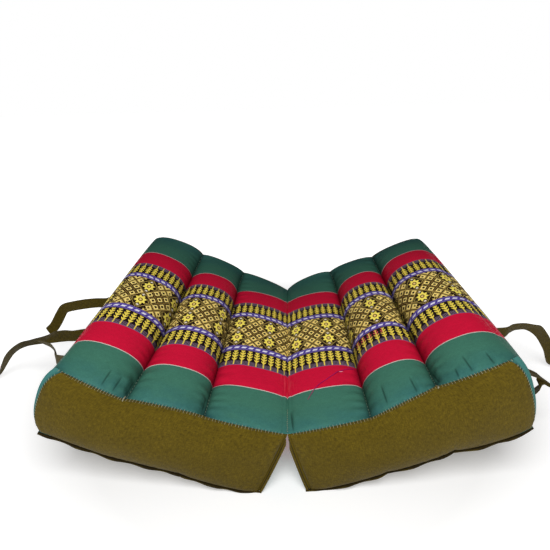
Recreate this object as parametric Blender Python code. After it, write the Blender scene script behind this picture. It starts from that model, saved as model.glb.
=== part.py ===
"""Folding floor cushion: two filled halves sewn together along one top crease.

Plain panels close the ends, welts stand out along the seams, and ribbon ties hang from the sides.

Units are metres, +Z is up and +Y runs from the front end to the back one.
The origin is on the floor under the middle of the cushion, which rests part folded, as a shallow V.
"""
import math
from collections import namedtuple

import bmesh
import bpy
from mathutils import Vector

# Overall sizes
DEPTH = 0.400              # from the front seam to the back seam
CREASE_X = 0.005           # the left half is the wider one, so the crease is right of the middle
HINGE_FRONT = 0.082        # height of the crease at the front end
HINGE_BACK = 0.095         # height of the crease at the back end
HINGE_RISE = 0.0005        # how much the crease lifts between the ends
BASE_SINK = 0.002          # the floor presses the inner base corner flat by this
HALF_GAP = 0.00025         # from the plane of the crease to each half
CLEAR = 0.0004             # between a cover and what it lies on

# Swelling of the filled cloth between its seams
SWELL_POWER = 2.5
SWELL_FULLNESS = 0.8
DEPTH_POWER = 4.0
DEPTH_FULLNESS = 0.6
CROWN_POWER = 2.4
CROWN_FULLNESS = 0.75
SHOULDER_OUT = 0.003       # the outer top edge moves out by this between the ends
END_BULGE = 0.012
TURN_POWER = 4             # the channel seams turn aside near the front end

# Seams and folds of each half: widths and thicknesses at its seams, folds in degrees,
# how far the base's inner and outer edges lie out from the top's, and its front edge forward
HALF_FIELDS = "name side width fold_front fold_back thick_front thick_back base_in base_out base_front"
Half = namedtuple("Half", HALF_FIELDS)
LEFT = Half("left", -1, 0.270, 18.8, 24.0, 0.0855, 0.095, 0.008, 0.006, 0.004)
RIGHT = Half("right", 1, 0.265, 20.8, 22.8, 0.0905, 0.100, -0.006, -0.004, 0.001)
HALVES = (LEFT, RIGHT)

# A value at the front end, halfway and at the back end
Run = namedtuple("Run", "front middle back")
INNER_BULGE = Run(0.001, 0.012, 0.001)

# Rows run from the crease to the outer edge: heights above the plane through the crease and the outer edge
Rows = namedtuple("Rows", "top_seams top_crowns base_seams base_crowns seam_turns outer_bulge")
ROWS = {
    "left": Rows(
        top_seams=(
            Run(0.0000, 0.0010, 0.0000),
            Run(-0.0060, -0.0110, 0.0015),
            Run(-0.0111, -0.0146, 0.0052),
            Run(0.0055, -0.0067, 0.0021),
        ),
        top_crowns=(
            Run(-0.0022, 0.0089, 0.0043),
            Run(0.0016, 0.0181, 0.0059),
            Run(-0.0034, 0.0162, 0.0109),
        ),
        base_seams=(
            Run(0.000, 0.000, 0.000),
            Run(-0.004, 0.004, 0.001),
            Run(-0.0076, 0.004, 0.002),
            Run(0.000, 0.000, 0.000),
        ),
        base_crowns=(
            Run(-0.0044, -0.012, -0.006),
            Run(-0.0005, -0.012, -0.006),
            Run(-0.0005, -0.010, -0.006),
        ),
        seam_turns=(0.0189, 0.0392),
        outer_bulge=Run(0.0135, 0.009, 0.008),
    ),
    "right": Rows(
        top_seams=(
            Run(0.0000, 0.0010, 0.0000),
            Run(-0.0126, -0.0156, 0.0024),
            Run(0.0018, -0.0122, -0.0018),
            Run(0.0065, -0.0096, -0.0016),
        ),
        top_crowns=(
            Run(-0.0015, 0.0095, 0.0091),
            Run(-0.0010, 0.0188, 0.0064),
            Run(-0.0032, 0.0207, 0.0062),
        ),
        base_seams=(
            Run(0.000, 0.000, 0.000),
            Run(-0.004, 0.004, 0.001),
            Run(-0.0008, 0.004, 0.002),
            Run(0.000, 0.000, 0.000),
        ),
        base_crowns=(
            Run(-0.0045, -0.012, -0.006),
            Run(-0.0035, -0.012, -0.006),
            Run(-0.0060, -0.010, -0.006),
        ),
        seam_turns=(0.0189, 0.0042),
        outer_bulge=Run(0.010, 0.016, 0.014),
    ),
}
CHANNELS = 3

# How far each seam lies from an even split of the width, as a share of it
SEAM_SHIFTS = (0.0, 0.009, -0.009, 0.0)

# Sewn-on pieces
BAND = 0.003               # straight strip of the half beside a welt, before its end or side swells
FOLD_REACH = 0.006         # from the crease to each edge of the fold strip
FOLD_THICK = 0.0012
PANEL_THICK = 0.0016
WELT_WIDTH = 0.0038
WELT_THICK = 0.0018
WELT_WAVE = 0.0008
WELT_WAVE_LENGTH = 0.041
WELT_DROOP_HEIGHT = 0.012  # an edge higher than this above the floor has its welt turned down in full
WELT_FLOOR_GAP = 0.0003
WELT_UNDERCUT = 0.0014     # the inner side leans out over its welt by this
WELT_TOP = 0.80            # the corner welts stop at this share of the height, where the two halves meet
TIE_WIDTH = 0.018
TIE_THICK = 0.0015
TIE_STEP = 0.011
TIE_ROOT_GAP = 0.0015      # from the swollen side to the ribbon's end, where its stitches are
TIE_ROOT_SPAN = 0.12       # half the ribbon's width, as a share of the side's height
TIE_LEAD = 0.006           # straight way out before the ribbon bends

# Grid lines: shares of each channel, of the depth and of the height
CHANNEL_LINES = (0.0, 0.14, 0.32, 0.5, 0.68, 0.86)
DEPTH_LINES = (0.0, 0.02, 0.06, 0.12, 0.20, 0.30, 0.40, 0.50, 0.60, 0.70, 0.80, 0.88, 0.94, 0.98, 1.0)
HEIGHT_LINES = (0.14, 0.36, 0.62, 0.84, 1.0)

# Each tie's root, as shares of its half's depth and height, and its route from there
Tie = namedtuple("Tie", "half depth height stops")
Stop = namedtuple("Stop", "x y z turn")    # turn is how far the width is turned from upright, in degrees
TIES = {
    "left_back_tie": Tie(LEFT, 0.74, 0.15, (
        Stop(-0.313, 0.106, 0.117, 0),
        Stop(-0.333, 0.106, 0.117, 0),
        Stop(-0.356, 0.108, 0.114, 0),
        Stop(-0.380, 0.114, 0.108, 0),
        Stop(-0.400, 0.119, 0.101, 0),
        Stop(-0.410, 0.120, 0.089, 5),
        Stop(-0.418, 0.118, 0.076, 10),
        Stop(-0.426, 0.116, 0.065, 15),
        Stop(-0.436, 0.113, 0.057, 30),
    )),
    "left_middle_tie": Tie(LEFT, 0.465, 0.17, (
        Stop(-0.322, -0.010, 0.113, 0),
        Stop(-0.340, -0.004, 0.110, 10),
        Stop(-0.362, 0.006, 0.103, 25),
        Stop(-0.385, 0.016, 0.094, 62),
        Stop(-0.407, 0.024, 0.086, 74),
        Stop(-0.429, 0.030, 0.078, 72),
        Stop(-0.449, 0.034, 0.068, 58),
        Stop(-0.465, 0.037, 0.055, 44),
        Stop(-0.480, 0.040, 0.038, 35),
        Stop(-0.494, 0.043, 0.019, 50),
        Stop(-0.508, 0.044, 0.005, 80),
        Stop(-0.527, 0.030, 0.001, 90),
    )),
    "left_front_tie": Tie(LEFT, 0.275, 0.20, (
        Stop(-0.327, -0.064, 0.103, 0),
        Stop(-0.336, -0.048, 0.103, -2),
        Stop(-0.349, -0.030, 0.103, -15),
        Stop(-0.365, -0.016, 0.102, -33),
        Stop(-0.382, -0.006, 0.101, -45),
    )),
    "right_middle_tie": Tie(RIGHT, 0.45, 0.17, (
        Stop(0.331, -0.008, 0.108, 5),
        Stop(0.345, 0.001, 0.110, 15),
        Stop(0.362, 0.009, 0.109, 30),
        Stop(0.383, 0.018, 0.103, 40),
        Stop(0.400, 0.027, 0.093, 25),
        Stop(0.417, 0.038, 0.075, 15),
        Stop(0.434, 0.046, 0.051, 15),
        Stop(0.446, 0.052, 0.028, 35),
        Stop(0.458, 0.056, 0.009, 70),
        Stop(0.485, 0.060, 0.001, 90),
        Stop(0.525, 0.062, 0.001, 90),
    )),
    "right_front_tie": Tie(RIGHT, 0.23, 0.20, (
        Stop(0.319, -0.112, 0.105, 88),
        Stop(0.334, -0.113, 0.098, 90),
        Stop(0.340, -0.110, 0.087, 90),
        Stop(0.331, -0.105, 0.068, 90),
        Stop(0.311, -0.096, 0.042, 90),
        Stop(0.288, -0.087, 0.014, 90),
        Stop(0.267, -0.080, 0.001, 90),
        Stop(0.245, -0.073, 0.001, 90),
    )),
}

# Finish of each kind of cloth: colour, roughness
CLOTHS = {
    "striped_cloth": ((0.060, 0.205, 0.145, 1.0), 0.70),
    "fold_cloth": ((0.048, 0.170, 0.120, 1.0), 0.72),
    "panel_cloth": ((0.155, 0.115, 0.020, 1.0), 0.85),
    "welt_cloth": ((0.085, 0.065, 0.012, 1.0), 0.88),
    "tie_cloth": ((0.090, 0.072, 0.014, 1.0), 0.85),
}


def clear_scene():
    for old in list(bpy.data.objects):
        bpy.data.objects.remove(old, do_unlink=True)


def lerp(start, end, share):
    return start + (end - start) * share


def swell(share, power, fullness):
    """0 at both ends of 0 to 1, rising fast to 1 in the middle."""
    return max(0.0, 1.0 - abs(2.0 * share - 1.0) ** power) ** fullness


def banded_swell(share, band):
    """A swell that starts beyond a straight band at its lower end."""
    return swell(max(0.0, share - band) / (1.0 - band), SWELL_POWER, SWELL_FULLNESS)


def between_ends(depth):
    """0 at the front and back seams, and nearly 1 a hand's width in from them."""
    return swell(depth, DEPTH_POWER, DEPTH_FULLNESS)


def along(run, depth):
    """A value that changes from the front end through the middle to the back end."""
    return lerp(lerp(run.front, run.back, depth), run.middle, between_ends(depth))


def channel_share(across):
    """The channel that a share of the width falls in, and the share of that channel."""
    channel = min(int(across * CHANNELS), CHANNELS - 1)
    return channel, across * CHANNELS - channel


def channel_height(seams, crowns, across, depth):
    """Height of the sewn cloth above its straight plane: low at each seam, swollen between two."""
    channel, share = channel_share(across)
    low = lerp(along(seams[channel], depth), along(seams[channel + 1], depth), share)
    return low + along(crowns[channel], depth) * swell(share, CROWN_POWER, CROWN_FULLNESS)


def width_share(half, across, depth):
    """Where a share counted in equal channels really lies on the width."""
    channel, share = channel_share(across)
    turns = (0.0, *ROWS[half.name].seam_turns, 0.0)
    turn = lerp(turns[channel], turns[channel + 1], share) * (1.0 - depth) ** TURN_POWER
    return across + turn + lerp(SEAM_SHIFTS[channel], SEAM_SHIFTS[channel + 1], share)


def hinge_height(depth):
    return lerp(HINGE_FRONT, HINGE_BACK, depth) + HINGE_RISE * between_ends(depth)


def skin_point(half, across, depth, height):
    """A point of a half's surface, from shares of its width, depth and height."""
    rows = ROWS[half.name]
    fold = math.radians(lerp(half.fold_front, half.fold_back, depth))
    hinge = hinge_height(depth)
    inner_thick = (hinge + half.base_in * math.sin(fold) + BASE_SINK) / math.cos(fold)
    outer_thick = lerp(half.thick_front, half.thick_back, depth)
    side_swell = banded_swell(height, BAND / outer_thick)
    aside = width_share(half, across, depth)
    base_out = lerp(half.base_in, half.width + half.base_out, aside)
    top_out = aside * (half.width + SHOULDER_OUT * between_ends(depth))
    out = lerp(base_out, top_out, height)
    out += across * along(rows.outer_bulge, depth) * side_swell
    out -= (1.0 - across) * along(INNER_BULGE, depth) * side_swell
    top = channel_height(rows.top_seams, rows.top_crowns, across, depth)
    base = channel_height(rows.base_seams, rows.base_crowns, across, depth)
    base -= lerp(inner_thick, outer_thick, aside)
    floor = -(hinge + base_out * math.sin(fold)) / math.cos(fold)
    up = lerp(max(base, floor), top, height)
    x = max(HALF_GAP, out * math.cos(fold) - up * math.sin(fold))
    y = (depth - 0.5) * DEPTH - half.base_front * (1.0 - depth) * (1.0 - height)
    z = max(0.0, hinge + out * math.sin(fold) + up * math.cos(fold))
    if depth in (0.0, 1.0):
        end_swell = side_swell * banded_swell(across, BAND / half.width)
        y += math.copysign(END_BULGE * end_swell, depth - 0.5)
    return Vector((CREASE_X + half.side * x, y, z))


def across_lines(half):
    """Shares of the width: the band, the fold strip's edge and the lines of each channel."""
    lines = [0.0, BAND / half.width, FOLD_REACH / half.width]
    for channel in range(CHANNELS):
        first = 1 if channel == 0 else 0
        lines += [(channel + share) / CHANNELS for share in CHANNEL_LINES[first:]]
    return lines + [1.0]


def height_lines(half):
    return [0.0, BAND / half.thick_front, *HEIGHT_LINES]


def grid_solid(counts, place):
    """Closed skin of a block of grid points, every four-cornered cell cut the same way into two triangles."""
    points = []
    index = {}
    faces = []

    def corner(*at):
        if at not in index:
            index[at] = len(points)
            points.append(place(*at))
        return index[at]

    for fixed in range(3):
        first, second = [axis for axis in range(3) if axis != fixed]
        for wall in (0, counts[fixed]):
            for i in range(counts[first]):
                for j in range(counts[second]):
                    cell = []
                    for step_i, step_j in ((0, 0), (1, 0), (1, 1), (0, 1)):
                        at = [0, 0, 0]
                        at[fixed] = wall
                        at[first] = i + step_i
                        at[second] = j + step_j
                        cell.append(corner(*at))
                    faces += [(cell[0], cell[1], cell[2]), (cell[0], cell[2], cell[3])]
    return points, faces


def ring_solid(rings):
    """Closed loop of four-cornered sections, each one joined to the next and the last to the first."""
    points = [point for ring in rings for point in ring]
    faces = []
    for i in range(len(rings)):
        for j in range(4):
            a = 4 * i + j
            b = 4 * i + (j + 1) % 4
            c = 4 * ((i + 1) % len(rings)) + (j + 1) % 4
            d = 4 * ((i + 1) % len(rings)) + j
            faces += [(a, b, c), (a, c, d)]
    return points, faces


def add_piece(name, shape, cloth, parent):
    """One named object with its faces pointing out, its own material and soft shading."""
    points, faces = shape
    mesh = bpy.data.meshes.new(name)
    mesh.from_pydata(points, [], faces)
    work = bmesh.new()
    work.from_mesh(mesh)
    bmesh.ops.recalc_face_normals(work, faces=work.faces)
    work.to_mesh(mesh)
    work.free()
    mesh.shade_smooth()
    mesh.set_sharp_from_angle(angle=math.radians(50))
    mesh.materials.append(cloth)
    piece = bpy.data.objects.new(name, mesh)
    bpy.context.collection.objects.link(piece)
    piece.parent = parent
    return piece


def make_cloth(name):
    colour, roughness = CLOTHS[name]
    cloth = bpy.data.materials.new(name)
    cloth.use_nodes = True
    shader = cloth.node_tree.nodes["Principled BSDF"]
    shader.inputs["Base Color"].default_value = colour
    shader.inputs["Roughness"].default_value = roughness
    shader.inputs["Metallic"].default_value = 0.0
    cloth.diffuse_color = colour
    return cloth


def filled_half(half):
    """One filled half with its three sewn channels, pressed flat on the floor and against the other half."""
    across = across_lines(half)
    heights = height_lines(half)

    def place(i, j, k):
        return skin_point(half, across[i], DEPTH_LINES[j], heights[k])

    return grid_solid((len(across) - 1, len(DEPTH_LINES) - 1, len(heights) - 1), place)


def end_panel(half, depth):
    """The plain sheet over the front or back end, clear of the bands where the welts are sewn."""
    across = across_lines(half)[1:]
    heights = height_lines(half)[1:]
    outward = Vector((0.0, math.copysign(1.0, depth - 0.5), 0.0))

    def place(i, layer, k):
        lift = CLEAR + PANEL_THICK * layer
        return skin_point(half, across[i], depth, heights[k]) + outward * lift

    return grid_solid((len(across) - 1, 1, len(heights) - 1), place)


def fold_strip():
    """The narrow run of the striped cloth that crosses from one half to the other along the crease."""
    lines = [(LEFT, 2), (LEFT, 1), (LEFT, 0), (RIGHT, 0), (RIGHT, 1), (RIGHT, 2)]
    thickness = [0.5, 0.9, 1.0, 1.0, 0.9, 0.5]

    def place(i, j, layer):
        half, line = lines[i]
        lift = CLEAR + FOLD_THICK * thickness[i] * layer
        point = skin_point(half, across_lines(half)[line], DEPTH_LINES[j], 1.0)
        return point + Vector((0.0, 0.0, lift * 1.1))

    return grid_solid((len(lines) - 1, len(DEPTH_LINES) - 1, 1), place)


def welt_section(edge, outward, gap, width, thick=WELT_THICK):
    """Four corners of a welt's section: it stands out from an edge, turned down where it is off the floor."""
    droop = min(1.0, edge.z / WELT_DROOP_HEIGHT)
    direction = (outward + Vector((0.0, 0.0, -0.9 * droop))).normalized()
    normal = (Vector((0.0, 0.0, 1.0)) + outward * 0.9 * droop).normalized()
    root = edge + direction * gap
    tip = root + direction * width
    side = normal * thick / 2
    corners = [root - side, root + side, tip + side, tip - side]
    lift = max(0.0, WELT_FLOOR_GAP - min(corner.z for corner in corners))
    return [corner + Vector((0.0, 0.0, lift)) for corner in corners]


def base_outline(half):
    """The base's edge points in order, each with the way out of the base there."""
    across = across_lines(half)
    outline = []
    for i, share in enumerate(across):
        sideways = {0: -1.0, len(across) - 1: 1.0}.get(i, 0.0)
        outline.append((share, 0.0, sideways, -1.0))
    outline += [(1.0, depth, 1.0, 0.0) for depth in DEPTH_LINES[1:-1]]
    for i, share in reversed(list(enumerate(across))):
        sideways = {0: -1.0, len(across) - 1: 1.0}.get(i, 0.0)
        outline.append((share, 1.0, sideways, 1.0))
    outline += [(0.0, depth, -1.0, 0.0) for depth in reversed(DEPTH_LINES[1:-1])]
    return outline


def base_welt(half):
    """The wavy seam edge that stands out all round the base."""
    rings = []
    travelled = 0.0
    last = None
    for share, depth, sideways, lengthways in base_outline(half):
        edge = skin_point(half, share, depth, 0.0)
        if last is not None:
            travelled += (edge - last).length
        last = edge
        wave = math.sin(2.0 * math.pi * travelled / WELT_WAVE_LENGTH + half.side)
        outward = Vector((half.side * sideways, lengthways, 0.0))
        gap = CLEAR + (WELT_UNDERCUT if sideways < 0.0 else 0.0)
        rings.append(welt_section(edge, outward, gap, WELT_WIDTH + WELT_WAVE * wave))
    return ring_solid(rings)


def corner_welt(half, depth):
    """The seam edge that stands out up the inner corner of one end, and narrows under the crease."""
    heights = [share for share in height_lines(half)[1:] if share < WELT_TOP] + [WELT_TOP]
    lengthways = math.copysign(1.0, depth - 0.5)
    direction = Vector((-half.side * 0.8, lengthways * 0.6, 0.0))
    normal = Vector((half.side * 0.6, lengthways * 0.8, 0.0))

    def place(layer, j, step):
        edge = skin_point(half, 0.0, depth, heights[j])
        room = (abs(edge.x - CREASE_X) - 2.0 * CLEAR - WELT_THICK / 2) / 0.8
        width = max(0.001, min(WELT_WIDTH, room))
        root = edge + direction * CLEAR + normal * WELT_THICK * 0.5
        return root + normal * WELT_THICK * (layer - 0.5) + direction * width * step

    return grid_solid((1, len(heights) - 1, 1), place)


def smooth_route(stops):
    """Points and turns about a step apart on a smooth curve through the stops."""
    rows = [Vector((stop.x, stop.y, stop.z, stop.turn)) for stop in stops]
    rows = [rows[0] * 2 - rows[1], *rows, rows[-1] * 2 - rows[-2]]
    route = []
    for before, start, end, after in zip(rows, rows[1:], rows[2:], rows[3:]):
        steps = max(1, round((end - start).to_3d().length / TIE_STEP))
        for step in range(steps):
            t = step / steps
            value = start * 2 + (end - before) * t
            value += (before * 2 - start * 5 + end * 4 - after) * t ** 2
            value += (start * 3 - before - end * 3 + after) * t ** 3
            route.append(value / 2)
    route.append(rows[-2])
    return route


def tie_ribbon(tie):
    """A flat ribbon along its route, its width turned from upright as the stops say."""
    half = tie.half
    root = skin_point(half, 1.0, tie.depth, tie.height)
    spans = (tie.height - TIE_ROOT_SPAN, tie.height, tie.height + TIE_ROOT_SPAN)
    wall = max(half.side * skin_point(half, 1.0, tie.depth, height).x for height in spans)
    turn = tie.stops[0].turn
    start = Stop(half.side * (wall + TIE_ROOT_GAP), root.y, root.z, turn)
    lead = Stop(half.side * (wall + TIE_ROOT_GAP + TIE_LEAD), root.y, root.z, turn)
    route = smooth_route((start, lead, *tie.stops))
    places = [row.to_3d() for row in route]
    up = Vector((0.0, 0.0, 1.0))
    sections = []
    level = None
    for i, place in enumerate(places):
        ahead = (places[min(i + 1, len(places) - 1)] - places[max(i - 1, 0)]).normalized()
        across = ahead.cross(up)
        if across.length > 0.3 or level is None:
            level = across.normalized()
        level = (level - ahead * level.dot(ahead)).normalized()
        rise = level.cross(ahead)
        turn = math.radians(route[i][3])
        width = rise * math.cos(turn) + level * math.sin(turn)
        sections.append((place, width, width.cross(ahead)))

    def corner(i, j, k):
        place, width, thick = sections[j]
        point = place + width * TIE_WIDTH * (i - 0.5) + thick * TIE_THICK * (k - 0.5)
        point.z = max(point.z, TIE_THICK * 0.2 + TIE_THICK * k)
        return point

    return grid_solid((1, len(sections) - 1, 1), corner)


def build():
    clear_scene()
    cloths = {name: make_cloth(name) for name in CLOTHS}
    cushion = bpy.data.objects.new("cushion", None)
    bpy.context.collection.objects.link(cushion)
    for half in HALVES:
        add_piece(f"{half.name}_half", filled_half(half), cloths["striped_cloth"], cushion)
        add_piece(f"{half.name}_base_welt", base_welt(half), cloths["welt_cloth"], cushion)
        for end, depth in (("front", 0.0), ("back", 1.0)):
            add_piece(f"{half.name}_{end}_panel", end_panel(half, depth), cloths["panel_cloth"], cushion)
            add_piece(f"{half.name}_{end}_welt", corner_welt(half, depth), cloths["welt_cloth"], cushion)
    add_piece("fold_strip", fold_strip(), cloths["fold_cloth"], cushion)
    for name, tie in TIES.items():
        add_piece(name, tie_ribbon(tie), cloths["tie_cloth"], cushion)


build()
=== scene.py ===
"""Looks of the folding floor cushion: brocade halves, end panels, welts, stitches and ties.

Units are metres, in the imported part's frame: +Z up, the front end towards -Y, the crease a little
right of the middle. A half's surface is given by three shares: across its width from the crease, along
its depth from the front end, and up its height from the base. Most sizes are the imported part's own.
"""
import math
from collections import namedtuple
from itertools import accumulate

import bmesh
import bpy
from mathutils import Matrix, Vector, noise


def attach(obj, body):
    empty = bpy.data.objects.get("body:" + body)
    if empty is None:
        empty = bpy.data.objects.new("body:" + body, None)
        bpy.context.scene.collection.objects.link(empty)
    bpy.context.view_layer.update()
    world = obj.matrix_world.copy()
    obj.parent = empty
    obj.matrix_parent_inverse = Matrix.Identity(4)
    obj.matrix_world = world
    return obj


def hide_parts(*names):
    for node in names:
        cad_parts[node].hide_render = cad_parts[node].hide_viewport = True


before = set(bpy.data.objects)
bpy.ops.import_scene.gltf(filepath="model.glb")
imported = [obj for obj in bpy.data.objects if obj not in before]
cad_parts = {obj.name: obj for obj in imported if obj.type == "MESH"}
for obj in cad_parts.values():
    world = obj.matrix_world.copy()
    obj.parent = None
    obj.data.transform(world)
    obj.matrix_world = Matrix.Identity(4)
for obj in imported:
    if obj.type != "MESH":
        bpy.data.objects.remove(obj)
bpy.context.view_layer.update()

UP = Vector((0.0, 0.0, 1.0))
ENDS = {"front": 0.0, "back": 1.0}      # the depth of each end
MILLIMETRES = 1000.0       # in a metre

# Camera
PHOTO_PIXELS = 550
FOCAL_PIXELS = 459.7
SENSOR_WIDTH = 36.0
CAMERA_PLACE = (0.0115, -0.6329, 0.4414)
CAMERA_PITCH = 20.57       # degrees down
CAMERA_YAW = 2.06
CAMERA_ROLL = -1.70

# Light and floor
AMBIENT = 0.08
LIGHT_AIM = (0.0, 0.0, 0.05)
KEY_PLACE = (0.0, -0.78, 0.82)
KEY_SIZE = 0.6
KEY_POWER = 11.3
GLOW_NEAR = 0.22
GLOW_FAR = 1.05
GLOW_NEAR_REACH = 0.30
GLOW_FAR_REACH = 0.62
FLOOR_SIZE = 60.0
FLOOR_COLOUR = (0.85, 0.85, 0.85, 1.0)
FLOOR_ROUGHNESS = 0.95
WHITE = (1.0, 1.0, 1.0, 1.0)

# Overall sizes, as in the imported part
DEPTH = 0.400
CREASE_X = 0.005
HINGE_FRONT = 0.082
HINGE_BACK = 0.095
HINGE_RISE = 0.0005
BASE_SINK = 0.002
HALF_GAP = 0.00025
CLEAR = 0.0004
SWELL_POWER = 2.5
SWELL_FULLNESS = 0.8
DEPTH_POWER = 4.0
DEPTH_FULLNESS = 0.6
CROWN_POWER = 2.4
CROWN_FULLNESS = 0.75
SHOULDER_OUT = 0.003
END_BULGE = 0.012
TURN_POWER = 4
BAND = 0.003

HALF_FIELDS = "name side width fold_front fold_back thick_front thick_back base_in base_out base_front"
Half = namedtuple("Half", HALF_FIELDS)
LEFT = Half("left", -1, 0.270, 18.8, 24.0, 0.0855, 0.095, 0.008, 0.006, 0.004)
RIGHT = Half("right", 1, 0.265, 20.8, 22.8, 0.0905, 0.100, -0.006, -0.004, 0.001)
HALVES = (LEFT, RIGHT)

# A value at the front end, halfway and at the back end
Run = namedtuple("Run", "front middle back")
INNER_BULGE = Run(0.001, 0.012, 0.001)

# Rows run from the crease to the outer edge: heights above the plane through the crease and the outer edge
Rows = namedtuple("Rows", "top_seams top_crowns base_seams base_crowns seam_turns outer_bulge")
ROWS = {
    "left": Rows(
        top_seams=(
            Run(0.0, 0.001, 0.0),
            Run(-0.006, -0.011, 0.0015),
            Run(-0.0111, -0.0146, 0.0052),
            Run(0.0055, -0.0067, 0.0021),
        ),
        top_crowns=(
            Run(-0.0022, 0.0089, 0.0043),
            Run(0.0016, 0.0181, 0.0059),
            Run(-0.0034, 0.0162, 0.0109),
        ),
        base_seams=(
            Run(0.0, 0.0, 0.0),
            Run(-0.004, 0.004, 0.001),
            Run(-0.0076, 0.004, 0.002),
            Run(0.0, 0.0, 0.0),
        ),
        base_crowns=(
            Run(-0.0044, -0.012, -0.006),
            Run(-0.0005, -0.012, -0.006),
            Run(-0.0005, -0.01, -0.006),
        ),
        seam_turns=(0.0189, 0.0392),
        outer_bulge=Run(0.0135, 0.009, 0.008),
    ),
    "right": Rows(
        top_seams=(
            Run(0.0, 0.001, 0.0),
            Run(-0.0126, -0.0156, 0.0024),
            Run(0.0018, -0.0122, -0.0018),
            Run(0.0065, -0.0096, -0.0016),
        ),
        top_crowns=(
            Run(-0.0015, 0.0095, 0.0091),
            Run(-0.001, 0.0188, 0.0064),
            Run(-0.0032, 0.0207, 0.0062),
        ),
        base_seams=(
            Run(0.0, 0.0, 0.0),
            Run(-0.004, 0.004, 0.001),
            Run(-0.0008, 0.004, 0.002),
            Run(0.0, 0.0, 0.0),
        ),
        base_crowns=(
            Run(-0.0045, -0.012, -0.006),
            Run(-0.0035, -0.012, -0.006),
            Run(-0.006, -0.01, -0.006),
        ),
        seam_turns=(0.0189, 0.0042),
        outer_bulge=Run(0.01, 0.016, 0.014),
    ),
}
CHANNELS = 3

# How far each seam lies from an even split of the width, as a share of it
SEAM_SHIFTS = (0.0, 0.009, -0.009, 0.0)

# Striped cloth, in millimetres. Stripes are measured from the middle of the depth, their ends in order
FIELD_END = 43.5
BAND_END = 57.0
TREES_END = 92.5
EDGE_LINE_END = 93.3
RED_END = 138.0
WHITE_LINE_END = 139.3
TINTED_FROM = 122.0        # the front trees between these places across have red tops
TINTED_TO = 168.0
REPEAT_ACROSS = 49.0       # from one flower column to the next
REPEAT_ALONG = 64.0        # from one flower diamond to the next
FLOWER_PLACE = 17.5        # the first column right of the crease
FLOWER_RISE = 21.3         # from the middle of the field to each row of flowers
TREE_PLACE = 4.0
TREE_PITCH = 10.2
LEAF_PITCH = 6.4
FLOWER_ACROSS = 9.0        # half the flower's size
FLOWER_ALONG = 13.2
MIDDLE = DEPTH * 500.0     # the middle of the depth
SEAM_TAKE_UP = 0.012       # metres of cloth that each channel seam takes in
FRINGE_HEIGHT = 9.0        # the fringe round each tree's foot
FRINGE_TEETH = 6.0         # to each tree
FRINGE_GAP = 1.3
EDGE_LINE_START = 0.4      # how far the line at the trees' feet reaches up
TREE_HEIGHT = 34.0
TRUNK_WIDTH = 0.8          # half of it, as for the crown's width and the dashes' sizes
LEAVES_FROM = 8.5
LEAVES_TO = 35.0
LEAF_START = 11.5
LEAF_SLANT = 1.1
LEAF_THICK = 0.40          # half of it at the trunk, in shares of the leaves' pitch
LEAF_THINNING = 0.22
CROWN_MIDDLE = 23.0
CROWN_RISE = 13.5
CROWN_WIDTH = 4.1
CROWN_TAPER = 2.4
TINT_START = 19.0
DASH_WIDTH = 3.2
DASH_HEIGHT = 2.1
DASH_SLANT = 0.5
PALE_LINES = (4.6, 6.75)   # from the middle of the dashed band, as are the dark lines
DARK_LINES = (6.0, 6.75)

# Rings of the flowered field: how far from the middle their edges lie, in squares, 3 to a diamond
SQUARE_RING = (0.16, 0.31)
LATTICE_FROM = 0.46
DIAMOND_RING = (1.32, 1.41)
INNER_DIAMOND_RING = (1.07, 1.16)
SIDE_SQUARES_FROM = 1.2
# and round each flower, in shares of half its size
FLOWER_DIAMONDS = ((1.42, 1.52), (1.74, 1.84))
FLOWER_DIAMOND = 2.0
FLOWER_HOLLOW = 1.10
FLOWER_RING = (0.20, 0.36)
FLOWER_EYE = 0.14
PETALS = 8.0
PETAL_REACH = 0.82
PETAL_WAVE = 0.16
TIP_PLACE = 1.12
TIP_SIZE = 0.020

# Painted shade laid into the cloth's colour, and a lighter field: shares of its colour, and reaches in
# millimetres
PAINTED_BACK_SHADE = 0.0034        # painted shade towards the back end, where less light falls: this much darker for each millimetre behind this place along
PAINTED_BACK_SHADE_FROM = 295.0
VALLEY_PAINTED_SHADE = 0.72        # painted shade at a channel seam
VALLEY_PAINTED_SHADE_OUT = 15.0    # how far that reaches away from the crease, and towards it
VALLEY_PAINTED_SHADE_IN = 5.0
WRINKLE_PAINTED_SHADE = 0.55       # painted shade in a crease
WRINKLE_PAINTED_SHADE_REACH = 1.1
FIELD_GLOW = 0.11          # how much lighter the field is
TEAL_FROM = 165.0          # from the middle of the depth, over this length the green turns teal
TEAL_LENGTH = 35.0

# Colours, from 0 to 255
GREEN = (62, 112, 94)
TEAL = (42, 92, 98)
LINE_WHITE = (206, 190, 186)
RED = (204, 20, 56)
PAINTED_SHEEN_RED = (214, 84, 92)
TREE_GROUND = (30, 19, 24)
# painted sheen highlight: paler red streaks near the crease
FRINGE = (138, 118, 138)
LEAF = (246, 222, 84)
RED_LEAF = (214, 92, 84)
TRUNK = (240, 214, 92)
EDGE_LINE = (120, 96, 140)
VIOLET = (84, 68, 160)
PALE_VIOLET = (126, 108, 168)
DARK_VIOLET = (56, 42, 72)
DASH = (232, 228, 246)
FIELD_GROUND = (38, 26, 14)
SQUARE = (255, 228, 134)
LATTICE = (150, 120, 60)
DIAMOND_LINE = (206, 178, 96)
INNER_LINE = (196, 168, 90)
FLOWER_GROUND = (40, 24, 14)
PETAL = (255, 234, 104)
BROWN = (84, 50, 24)
PINK = (236, 190, 150)
TIP_DOT = (240, 230, 214)
# painted shade in the groove at the root of each seam edge
PAINTED_GROOVE_SHADE = (20, 14, 5)
EDGE_CLOTH = (80, 67, 16)

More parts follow.
